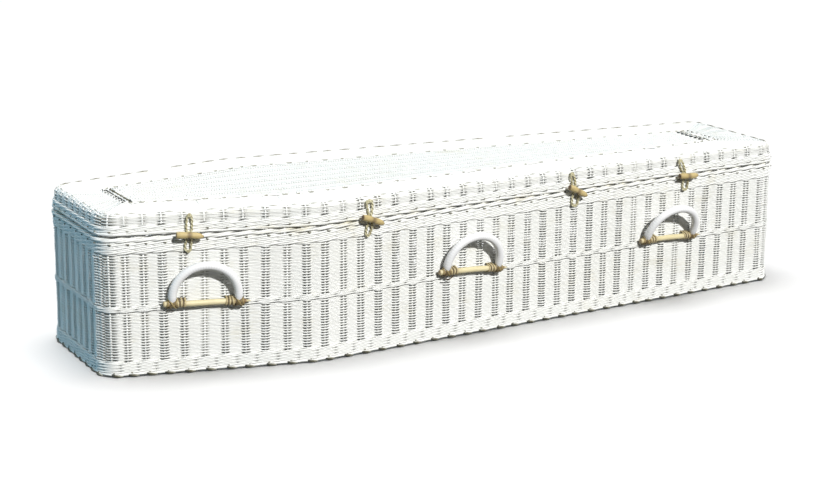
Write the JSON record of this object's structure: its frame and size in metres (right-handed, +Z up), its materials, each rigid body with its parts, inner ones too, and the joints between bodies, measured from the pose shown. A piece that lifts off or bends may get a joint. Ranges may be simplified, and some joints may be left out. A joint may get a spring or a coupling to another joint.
{
  "type": "rattan coffin",
  "caption": "White painted wicker coffin with tapered outline, soft shoulders, lift-off lid, arched carrying handles lashed on cane bars, and toggle ties across the seam",
  "frame": {"origin": "on the floor under the middle of the coffin", "axes": "+X from the head end to the foot end, +Y to the back wall, +Z up through the lid"},
  "size_m": [1.94, 0.6184, 0.3845],
  "materials": {
    "white_weave": "white painted woven cane, satin, grey in the gaps",
    "white_arch": "smooth white painted wrapped cane",
    "cane_bar": "natural peeled cane with a light gloss, brown tips",
    "split_cane": "natural split cane, wound",
    "toggle_wood": "natural whittled stick, matt",
    "cane_loop": "natural twisted cane core"
  },
  "bodies": {
    "root": {"coffin_body": "white_weave", "coffin_lid": "white_weave", "handle_arch_front_head": "white_arch", "handle_bar_front_head": "cane_bar", "lashing_front_head_left": "split_cane", "lashing_front_head_right": "split_cane", "handle_arch_front_middle": "white_arch", "handle_bar_front_middle": "cane_bar", "lashing_front_middle_left": "split_cane", "lashing_front_middle_right": "split_cane", "handle_arch_front_foot": "white_arch", "handle_bar_front_foot": "cane_bar", "lashing_front_foot_left": "split_cane", "lashing_front_foot_right": "split_cane", "toggle_front_1": "toggle_wood", "lid_loop_front_1": "cane_loop", "body_loop_front_1": "cane_loop", "toggle_front_2": "toggle_wood", "lid_loop_front_2": "cane_loop", "body_loop_front_2": "cane_loop", "toggle_front_3": "toggle_wood", "lid_loop_front_3": "cane_loop", "body_loop_front_3": "cane_loop", "toggle_front_4": "toggle_wood", "lid_loop_front_4": "cane_loop", "body_loop_front_4": "cane_loop", "handle_arch_back_head": "white_arch", "handle_bar_back_head": "cane_bar", "lashing_back_head_left": "split_cane", "lashing_back_head_right": "split_cane", "handle_arch_back_middle": "white_arch", "handle_bar_back_middle": "cane_bar", "lashing_back_middle_left": "split_cane", "lashing_back_middle_right": "split_cane", "handle_arch_back_foot": "white_arch", "handle_bar_back_foot": "cane_bar", "lashing_back_foot_left": "split_cane", "lashing_back_foot_right": "split_cane", "toggle_back_1": "toggle_wood", "lid_loop_back_1": "cane_loop", "body_loop_back_1": "cane_loop", "toggle_back_2": "toggle_wood", "lid_loop_back_2": "cane_loop", "body_loop_back_2": "cane_loop", "toggle_back_3": "toggle_wood", "lid_loop_back_3": "cane_loop", "body_loop_back_3": "cane_loop", "toggle_back_4": "toggle_wood", "lid_loop_back_4": "cane_loop", "body_loop_back_4": "cane_loop"}
  },
  "joints": []
}
